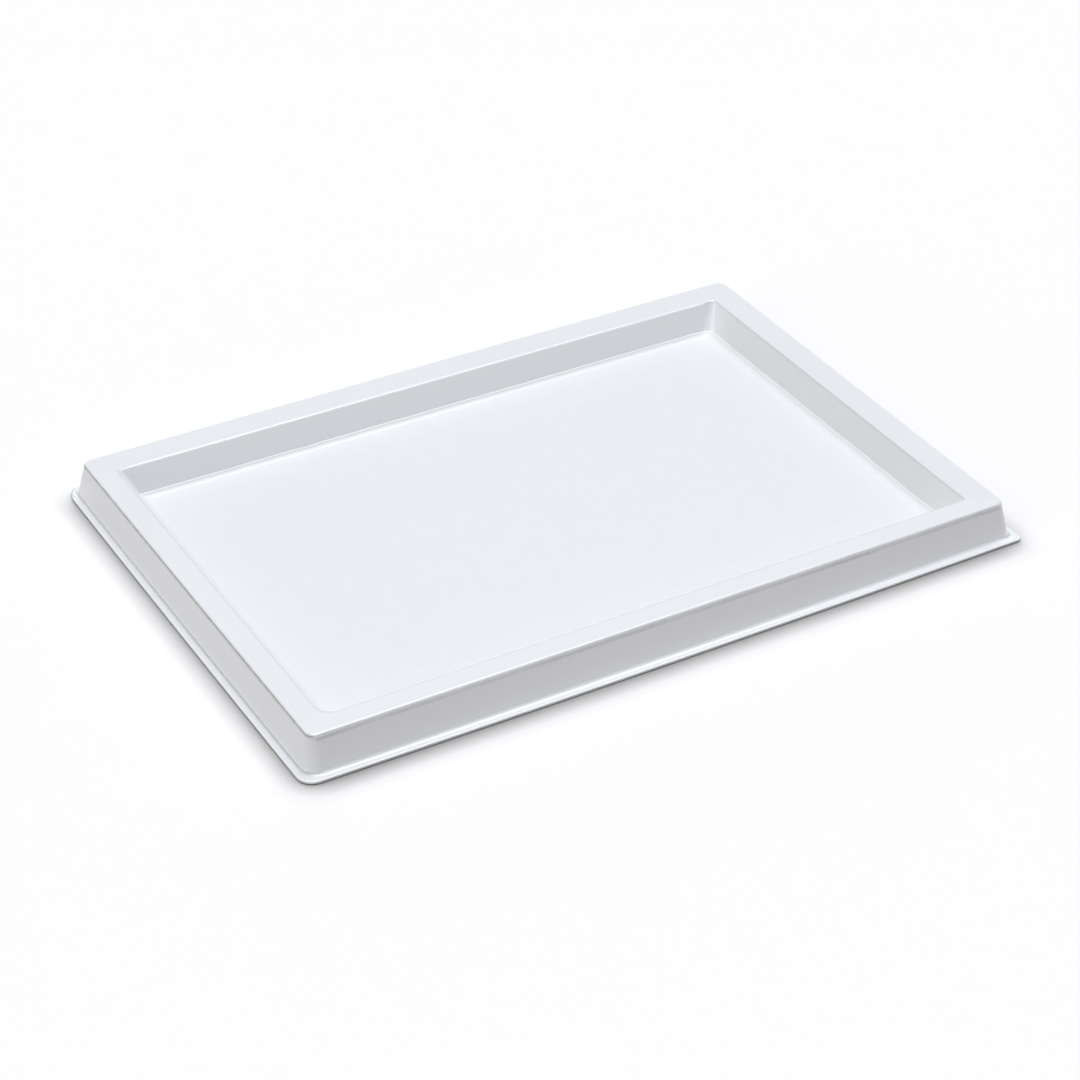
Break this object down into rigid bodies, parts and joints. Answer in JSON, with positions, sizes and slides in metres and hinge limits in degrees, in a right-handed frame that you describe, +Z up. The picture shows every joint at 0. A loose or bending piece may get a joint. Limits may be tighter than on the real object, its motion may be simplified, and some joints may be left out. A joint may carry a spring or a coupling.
{
  "type": "wet palette",
  "caption": "Shallow white thermoformed palette tray with a flat rim and turned-out flange, holding an absorbent water pad under a sheet of palette paper.",
  "frame": {"origin": "centre of the footprint, on the surface that the flange stands on", "axes": "+X along the tray's long side, +Z up out of the well"},
  "size_m": [0.4144, 0.2838, 0.0213],
  "materials": {
    "tray_plastic": "satin gloss white, as formed",
    "pad": "matt absorbent felt-like pad",
    "palette_paper": "smooth white palette paper"
  },
  "bodies": {
    "tray": {"tray": "tray_plastic"},
    "reservoir": {"reservoir": "pad"},
    "membrane": {"membrane": "palette_paper"}
  },
  "joints": [
    {"name": "reservoir_lift", "type": "slide", "parent": "tray", "child": "reservoir", "axis": [0, 0, 1], "range_m": [0, 0.05]},
    {"name": "membrane_lift", "type": "slide", "parent": "reservoir", "child": "membrane", "axis": [0, 0, 1], "range_m": [0, 0.03]}
  ]
}
